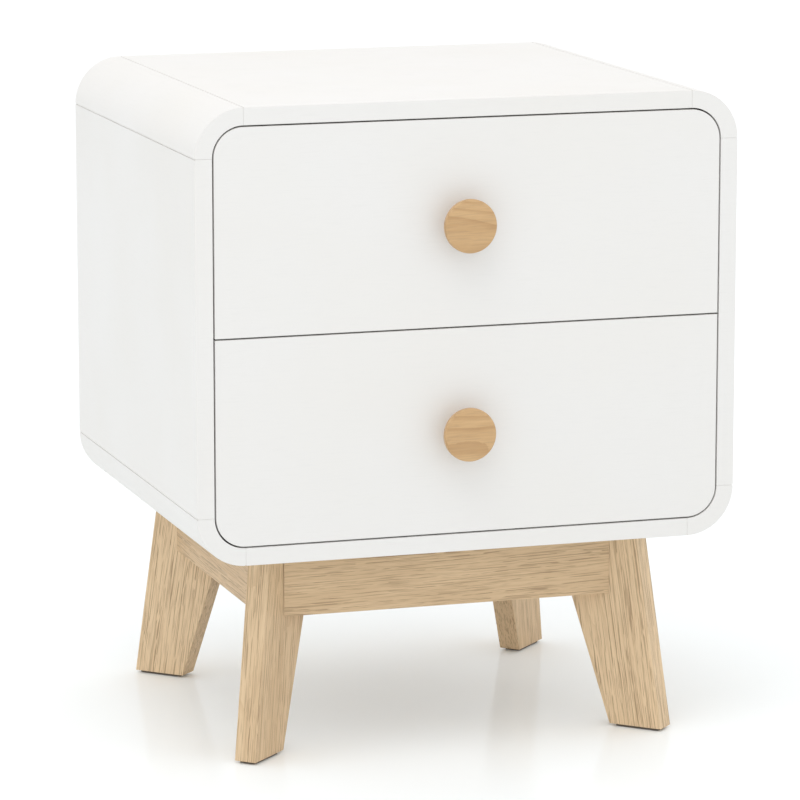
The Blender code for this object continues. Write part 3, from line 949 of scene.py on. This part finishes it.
def build_rails():
    for node, shift in RAIL_GROWTH.items():
        low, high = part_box(node)
        runs_x = high.x - low.x > high.y - low.y
        length, width = (0, 1) if runs_x else (1, 0)
        thickness = high[width] - low[width]
        outer, inner = low[width], high[width]
        if low[width] > 0:
            outer, inner = inner, outer
        outline = [
            (low[length], outer),
            (high[length], outer),
            (high[length] - thickness, inner),
            (low[length] + thickness, inner),
        ]
        points = [(pair[length], pair[width], low.z) for pair in outline]
        rail = new_piece(f"oak_{node}", prism(node, points, (0, 0, high.z - low.z)))
        ease(rail, settings().wood.edge / 2)
        along = (1, 0.01, 0.02) if runs_x else (0.01, 1, 0.015)
        middle = (low + high) / 2
        # The rails get painted shade, as if in the cabinet's shadow
        store_grain(rail, middle, along, Z, shift, RAIL_PAINTED_SHADE)
        place_piece(rail, "base_oak", "cabinet", node)


def build_corner_blocks():
    """The glue blocks keep their bores, with eased edges and a softwood grain."""
    for index, (corner, (side_x, side_y)) in enumerate(CORNERS.items()):
        node = f"{corner}_block"
        block = new_piece(f"pine_{node}", merged_copy(node))
        smooth_by_angle(block)
        low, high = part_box(node)
        along = (-side_y, side_x, 0)
        shift = (9.0 + 1.3 * index, 0.03 + 0.012 * index, 0.02)
        store_grain(block, (low + high) / 2, along, Z, shift)
        place_piece(block, "softwood", "cabinet", node)


def build_base_fasteners():
    """Socket-head bolts and countersunk screws."""
    for corner in CORNERS:
        build_leg_bolt(corner)
        build_block_screw(corner)


def thread(top, turns, pitch, crest, root, slope):
    """A thread's ridges as profile points, from its tip towards its head."""
    points = []
    for turn in range(turns):
        start = top - turn * pitch
        points += [(root, start - pitch * slope), (crest, start - pitch)]
    return points


def build_leg_bolt(corner):
    node = f"{corner}_leg_bolt"
    outward, across = diagonal(corner)
    low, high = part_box(node)
    middle = (low + high) / 2
    inner, outer = reach_along(node, outward)
    place = across * middle.dot(across) + outward * inner + Vector((0, 0, middle.z))
    length = outer - inner
    head_radius = (high.z - low.z) / 2
    head = head_radius * 0.66
    radius = head_radius / 2
    root = radius - 0.35 * MM
    pitch = 1.0 * MM
    threaded = 0.6
    turns = int((length - head) * threaded / pitch)
    tip = length - radius * 0.5
    profile = [(0, length), (radius * 0.6, length), (radius, tip)]
    profile += thread(tip, turns, pitch, radius, root, 0.5)
    profile += [
        (radius, head),
        (head_radius, head),
        (head_radius, head * 0.25),
        (head_radius * 0.97, head * 0.1),
        (head_radius * 0.88, 0),
        (0, 0),
    ]
    bolt = new_piece(f"bright_{node}", turned(node, profile, 36, place, outward))
    floor, wall = head * 0.7, radius * 0.95
    socket = [(0, floor), (wall, floor), (wall, -head), (0, -head)]
    hollow(bolt, turned("socket", socket, 6, place, outward))
    smooth_by_angle(bolt)
    place_piece(bolt, "bright_steel", "cabinet", node)


def build_block_screw(corner):
    node = f"{corner}_block_screw"
    low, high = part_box(node)
    middle = (low + high) / 2
    place = (middle.x, middle.y, low.z)
    length = high.z - low.z
    head = (high.x - low.x) / 2
    radius = head / 2
    root = radius - 0.45 * MM
    pitch = 1.8 * MM
    turns = int((length - 3 * radius - head) / pitch)
    tip = length - 2 * radius
    profile = [(0, length), (radius * 0.8, tip)]
    profile += thread(tip, turns, pitch, radius, root, 0.7)
    profile += [(radius, head), (head, head * 0.22), (head, 0), (0, 0)]
    screw = new_piece(f"bright_{node}", turned(node, profile, 28, place, Z))
    star = head * 0.3
    recess = [(0, star * 2), (star * 0.5, star * 1.6), (star, -star), (0, -star)]
    hollow(screw, turned("recess", recess, 4, place, Z))
    smooth_by_angle(screw)
    place_piece(screw, "bright_steel", "cabinet", node)


def build_foot_pads():
    for corner in CORNERS:
        node = f"{corner}_foot_pad"
        pad = new_piece(f"felt_{node}", merged_copy(node))
        ease(pad, 0.25 * MM, 2)
        place_piece(pad, "pressed_felt", "cabinet", node)


# ---------------- the drawers


def build_drawer_fronts():
    """Fronts with round outer corners, square where the two fronts meet."""
    paint = settings().paint
    for level in LEVELS:
        node = f"{level}_drawer_front"
        low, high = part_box(node)
        round_radius = CORNER_RADIUS - (HALF_WIDTH - high.x)
        radii = [0, round_radius, round_radius, 0]
        if level == "lower":
            radii = [round_radius, 0, 0, round_radius]
        outline = rounded_outline((low.x, low.z), (high.x, high.z), radii, paint.corner_steps)
        points = [(x, low.y, z) for x, z in outline]
        front = new_piece(f"painted_{node}", prism(node, points, (0, high.y - low.y, 0)))
        ease(front, paint.front_edge)
        place_piece(front, "satin_paint", f"{level}_drawer", node)


def build_drawer_boxes():
    """Grooved sides, back and floor of white-faced board, and the screws that join them."""
    for level in LEVELS:
        body = f"{level}_drawer"
        for part in ("left_side", "right_side", "back", "floor"):
            node = f"{level}_drawer_{part}"
            board = new_piece(f"board_{node}", merged_copy(node))
            ease(board, 0.4 * MM, 2)
            place_piece(board, "faced_board", body, node)
        back_low, back_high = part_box(f"{level}_drawer_back")
        _, side_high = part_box(f"{level}_drawer_right_side")
        y = (back_low.y + back_high.y) / 2
        inset = (back_high.z - back_low.z) * 0.2
        for side, sign in SIDES.items():
            x = sign * side_high.x
            row = [((x, y, back_low.z + inset), (x, y, back_high.z - inset))]
            head = screw_head_mesh(*BOX_SCREW_HEAD, sign * X)
            repeat(f"{level}_{side}_box_screws", head, row, BOX_SCREWS, body)


KNOB_GROWTH = {"upper": (12.3, 0.0060, 0.034), "lower": (14.1, 0.0215, 0.046)}


def knob_profile(rim, length):
    """A disc with an eased face, a rounded underside, a waisted neck and a flared foot."""
    eased = 1.3 * MM
    belly = 1.6 * MM
    neck = rim * 0.44
    foot = rim * 0.55
    face = arc((rim - eased, length - eased), eased, pi / 2, 0, 8)
    under = arc((rim - belly, length * 0.80), belly, 0, -pi / 3, 6)
    wide, top = under[-1]
    steps = 15
    sweep = []
    for step in range(1, steps):
        share = step / steps
        blend = 0.5 - 0.5 * cos(pi * share)
        sweep.append((wide + (neck - wide) * blend ** 0.8, top + (length * 0.25 - top) * share))
    flare = [
        (neck, length * 0.22),
        (neck * 1.02, length * 0.12),
        (foot * 0.95, length * 0.03),
        (foot, 0),
        (0, 0),
    ]
    return [(0, length)] + face + under[1:] + sweep + flare


def build_knobs():
    """Turned knobs, with the grain running across the face."""
    for level in LEVELS:
        node = f"{level}_knob"
        low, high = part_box(node)
        middle = (low + high) / 2
        profile = knob_profile((high.x - low.x) / 2, high.y - low.y)
        place = (middle.x, high.y, middle.z)
        mesh = turned(node, profile, settings().wood.knob_steps, place, -Y)
        knob = smooth_by_angle(new_piece(f"turned_{node}", mesh), 40)
        store_grain(knob, middle, (1, 0.05, 0.03), Z, KNOB_GROWTH[level])
        place_piece(knob, "knob_oak", f"{level}_drawer", node)


def build_knob_screws():
    """Pan-head screws behind the drawer fronts."""
    for level in LEVELS:
        node = f"{level}_knob_screw"
        low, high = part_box(node)
        middle = (low + high) / 2
        length = high.y - low.y
        head_radius = (high.x - low.x) / 2
        head = head_radius * 0.55
        rim = head * 0.6
        radius = head_radius * 0.44
        profile = [(0, length), (radius, length - radius), (radius, head)]
        profile += [(head_radius, head), (head_radius, rim)]
        profile += arc((head_radius * 0.55, rim), head_radius * 0.45, 0, -pi / 2.6, 5)[1:]
        profile += [(head_radius * 0.30, 0), (head_radius * 0.22, head * 0.5), (0, head * 0.55)]
        profile = [(distance, max(height, 0)) for distance, height in profile]
        place = (middle.x, high.y, middle.z)
        screw = new_piece(f"bright_{node}", turned(node, profile, 28, place, -Y))
        smooth_by_angle(screw)
        place_piece(screw, "bright_steel", f"{level}_drawer", node)


# ---------------- the slides


def channel_outline(web, lip, low, high, sheet, bend):
    """A pressed C section with round bends, as (x, z) points from one lip to the other."""
    toward = 1 if lip > web else -1
    centre = web + toward * bend

    def corner(radius, start, end):
        points = arc((0, 0), radius, start, end, BEND_STEPS)
        return [(centre + toward * x, low + bend + z) for x, z in points]

    def mirrored(points):
        return [(x, high - (z - low)) for x, z in reversed(points)]

    outside = corner(bend, -pi / 2, -pi)
    inside = corner(bend - sheet, -pi, -pi / 2)
    points = [(lip, low), *outside, *mirrored(outside), (lip, high), (lip, high - sheet)]
    return points + [*mirrored(inside), *inside, (lip, low + sheet)]


def slide_sections(level, side, sign):
    """Each section's name, node, body, box and the x of its web and its lip."""
    bodies = {
        "outer": "cabinet",
        "middle": f"{level}_{side}_carriage",
        "inner": f"{level}_drawer",
    }
    for section, body in bodies.items():
        node = f"{level}_{side}_slide_{section}"
        low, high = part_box(node)
        wall_side, drawer_side = (high.x, low.x) if sign > 0 else (low.x, high.x)
        web, lip = (drawer_side, wall_side) if section == "inner" else (wall_side, drawer_side)
        yield section, node, body, low, high, web, lip


def build_slides():
    """Pressed sections, their fixing screws, and the ball rows on the middle section."""
    slides = settings().slides
    for level in LEVELS:
        for side, sign in SIDES.items():
            places = {}
            for section, node, body, low, high, web, lip in slide_sections(level, side, sign):
                outline = channel_outline(web, lip, low.z, high.z, slides.sheet, slides.bend)
                points = [(x, low.y, z) for x, z in outline]
                piece = new_piece(f"pressed_{node}", prism(node, points, (0, high.y - low.y, 0)))
                smooth_by_angle(piece)
                place_piece(piece, "plated_zinc", body, node)
                places[section] = (low, high, web, lip)
                if section != "middle":
                    build_slide_screws(node, body, low, high, web, lip)
            build_bearings(f"{level}_{side}", sign, places)


def build_slide_screws(node, body, low, high, web, lip):
    slides = settings().slides
    toward = 1 if lip > web else -1
    x = web + toward * slides.sheet
    z = (low.z + high.z) / 2
    end = (high.y - low.y) * 0.1
    row = [((x, low.y + end, z), (x, high.y - end, z))]
    head = screw_head_mesh(*SLIDE_SCREW_HEAD, toward * X)
    repeat(f"{node}_screws", head, row, slides.screws, body)


def build_bearings(slide, sign, places):
    """Two ball cages on the middle section: one at its rear, one at its front."""
    slides = settings().slides
    _, outer_high, outer_web, _ = places["outer"]
    middle_low, middle_high, middle_web, middle_lip = places["middle"]
    _, inner_high, _, inner_lip = places["inner"]
    middle_z = (middle_low.z + middle_high.z) / 2
    length = middle_high.y - middle_low.y
    end = length * 0.02
    reach = length * 0.40
    rear = (middle_high.y - end - reach, middle_high.y - end)
    front = (middle_low.y + end, middle_low.y + end + reach)
    outer_gap = (outer_high.z - slides.sheet + middle_high.z) / 2 - middle_z
    inner_gap = (middle_high.z - slides.sheet + inner_high.z) / 2 - middle_z
    outer_x = middle_web - sign * 2.4 * MM
    inner_x = (middle_lip + inner_lip) / 2
    rows = []
    for (start, stop), gap, x in ((rear, outer_gap, outer_x), (front, inner_gap, inner_x)):
        for z in (middle_z - gap, middle_z + gap):
            rows.append(((x, start, z), (x, stop, z)))
    body = f"{slide}_carriage"
    repeat(f"{slide}_slide_balls", ball_mesh(slides.ball), rows, slides.balls, body)

    cage_sheet = 0.35 * MM
    overhang = 1.6 * MM
    clear = 0.35 * MM
    cages = {
        "rear_cage": (rear, outer_gap, outer_web - sign * (slides.sheet + clear), outer_x),
        "front_cage": (front, inner_gap, middle_web - sign * (slides.sheet + clear), inner_x),
    }
    for cage, ((start, stop), gap, web, ball_x) in cages.items():
        lip = ball_x - sign * overhang
        low, high = middle_z - gap - cage_sheet / 2, middle_z + gap + cage_sheet / 2
        outline = channel_outline(web, lip, low, high, cage_sheet, cage_sheet * 2)
        points = [(x, start - overhang, z) for x, z in outline]
        name = f"{slide}_slide_{cage}"
        piece = new_piece(name, prism(name, points, (0, stop - start + 2 * overhang, 0)))
        smooth_by_angle(piece)
        place_piece(piece, "plated_zinc", body)


# ---------------- the stage


FLOOR_REACH = 14.0
FLOOR_DROP = 0.1 * MM
KEY_SIZE = 1.6
KEY_OFFSET = Vector((-0.7, -1.0, 2.1))
SENSOR_WIDTH = 36.0
FAR_CLIP = 100.0


def build_floor():
    form = bmesh.new()
    bmesh.ops.create_grid(form, x_segments=1, y_segments=1, size=FLOOR_REACH)
    bmesh.ops.translate(form, verts=form.verts, vec=(0, 0, -FLOOR_DROP))
    floor = new_piece("floor", new_mesh("floor", form))
    floor.data.materials.append(finish("pale_floor"))


def build_lights():
    """Even white light from all round, and a large soft light above the left front."""
    stage = settings().stage
    world = bpy.data.worlds.new("even_light")
    world.use_nodes = True
    sky = world.node_tree.nodes["Background"]
    sky.inputs["Color"].default_value = (1.0, 1.0, 1.0, 1.0)
    sky.inputs["Strength"].default_value = stage.sky
    bpy.context.scene.world = world

    key = bpy.data.lights.new("key_light", "AREA")
    key.shape = "DISK"
    key.size = KEY_SIZE
    key.energy = stage.key
    lamp = bpy.data.objects.new("key_light", key)
    lamp.location = Vector((0, 0, (CABINET_LOW + CABINET_HIGH) / 2)) + KEY_OFFSET
    lamp.rotation_euler = KEY_OFFSET.to_track_quat("Z", "Y").to_euler()
    bpy.context.scene.collection.objects.link(lamp)


def build_camera():
    stage = settings().stage
    lens = bpy.data.cameras.new("camera")
    lens.sensor_width = SENSOR_WIDTH
    lens.lens = stage.lens
    lens.clip_end = FAR_CLIP
    camera = bpy.data.objects.new("camera", lens)
    level = stage.distance * cos(stage.elevation)
    back = (
        level * sin(stage.azimuth),
        -level * cos(stage.azimuth),
        stage.distance * sin(stage.elevation),
    )
    camera.location = Vector(stage.target) + Vector(back)
    camera.rotation_euler = (pi / 2 - stage.elevation, 0, stage.azimuth)
    bpy.context.scene.collection.objects.link(camera)
    bpy.context.scene.camera = camera
    bpy.context.scene.view_settings.view_transform = "Standard"


# ---------------- operators


class NIGHTSTAND_OT_stage(bpy.types.Operator):
    """Lay the floor, hang the lights and set up the camera"""

    bl_idname = "nightstand.stage"
    bl_label = "Stage"

    def execute(self, context):
        build_floor()
        build_lights()
        build_camera()
        return {"FINISHED"}


class NIGHTSTAND_OT_flat_walls(bpy.types.Operator):
    """Make the cabinet's top, bottom and sides"""

    bl_idname = "nightstand.flat_walls"
    bl_label = "Flat walls"

    def execute(self, context):
        build_flat_walls()
        return {"FINISHED"}


class NIGHTSTAND_OT_round_corners(bpy.types.Operator):
    """Make the cabinet's four quarter-round corners"""

    bl_idname = "nightstand.round_corners"
    bl_label = "Round corners"

    def execute(self, context):
        build_round_corners()
        return {"FINISHED"}


class NIGHTSTAND_OT_back_panel(bpy.types.Operator):
    """Make the back board and its pins"""

    bl_idname = "nightstand.back_panel"
    bl_label = "Back panel"

    def execute(self, context):
        build_back_panel()
        return {"FINISHED"}


class NIGHTSTAND_OT_legs(bpy.types.Operator):
    """Make the four splayed legs"""

    bl_idname = "nightstand.legs"
    bl_label = "Legs"

    def execute(self, context):
        build_legs()
        return {"FINISHED"}


class NIGHTSTAND_OT_rails(bpy.types.Operator):
    """Make the four rails between the legs"""

    bl_idname = "nightstand.rails"
    bl_label = "Rails"

    def execute(self, context):
        build_rails()
        return {"FINISHED"}


class NIGHTSTAND_OT_corner_blocks(bpy.types.Operator):
    """Make the glue blocks, bolts and screws inside the base"""

    bl_idname = "nightstand.corner_blocks"
    bl_label = "Corner blocks"

    def execute(self, context):
        build_corner_blocks()
        build_base_fasteners()
        return {"FINISHED"}


class NIGHTSTAND_OT_foot_pads(bpy.types.Operator):
    """Make the felt pads under the feet"""

    bl_idname = "nightstand.foot_pads"
    bl_label = "Foot pads"

    def execute(self, context):
        build_foot_pads()
        return {"FINISHED"}


class NIGHTSTAND_OT_drawer_fronts(bpy.types.Operator):
    """Make the two drawer fronts"""

    bl_idname = "nightstand.drawer_fronts"
    bl_label = "Drawer fronts"

    def execute(self, context):
        build_drawer_fronts()
        return {"FINISHED"}


class NIGHTSTAND_OT_drawer_boxes(bpy.types.Operator):
    """Make the boxes behind the drawer fronts"""

    bl_idname = "nightstand.drawer_boxes"
    bl_label = "Drawer boxes"

    def execute(self, context):
        build_drawer_boxes()
        return {"FINISHED"}


class NIGHTSTAND_OT_knobs(bpy.types.Operator):
    """Turn the two knobs and make their screws"""

    bl_idname = "nightstand.knobs"
    bl_label = "Knobs"

    def execute(self, context):
        build_knobs()
        build_knob_screws()
        return {"FINISHED"}


class NIGHTSTAND_OT_slides(bpy.types.Operator):
    """Make the four ball-bearing slides"""

    bl_idname = "nightstand.slides"
    bl_label = "Slides"

    def execute(self, context):
        build_slides()
        return {"FINISHED"}


OPERATORS = (
    NIGHTSTAND_OT_stage,
    NIGHTSTAND_OT_flat_walls,
    NIGHTSTAND_OT_round_corners,
    NIGHTSTAND_OT_back_panel,
    NIGHTSTAND_OT_legs,
    NIGHTSTAND_OT_rails,
    NIGHTSTAND_OT_corner_blocks,
    NIGHTSTAND_OT_foot_pads,
    NIGHTSTAND_OT_drawer_fronts,
    NIGHTSTAND_OT_drawer_boxes,
    NIGHTSTAND_OT_knobs,
    NIGHTSTAND_OT_slides,
)


class NIGHTSTAND_PT_pieces(bpy.types.Panel):
    """Lists the nightstand's settings and the operators that make its pieces"""

    bl_idname = "NIGHTSTAND_PT_pieces"
    bl_label = "Nightstand"
    bl_space_type = "VIEW_3D"
    bl_region_type = "UI"
    bl_category = "Nightstand"

    def draw(self, context):
        groups = context.scene.nightstand
        for title in ("paint", "wood", "slides", "stage"):
            group = getattr(groups, title)
            box = self.layout.box()
            box.label(text=title.capitalize())
            for name in group.__annotations__:
                box.prop(group, name)
        for operator in OPERATORS:
            self.layout.operator(operator.bl_idname)


CLASSES = (
    PaintSettings,
    WoodSettings,
    SlideSettings,
    StageSettings,
    NightstandSettings,
    *OPERATORS,
    NIGHTSTAND_PT_pieces,
)


def register():
    for item in CLASSES:
        bpy.utils.register_class(item)
    bpy.types.Scene.nightstand = PointerProperty(type=NightstandSettings)


def unregister():
    del bpy.types.Scene.nightstand
    for item in reversed(CLASSES):
        bpy.utils.unregister_class(item)


def main():
    register()
    for operator in OPERATORS:
        group, name = operator.bl_idname.split(".")
        getattr(getattr(bpy.ops, group), name)()


if __name__ == "__main__":
    main()
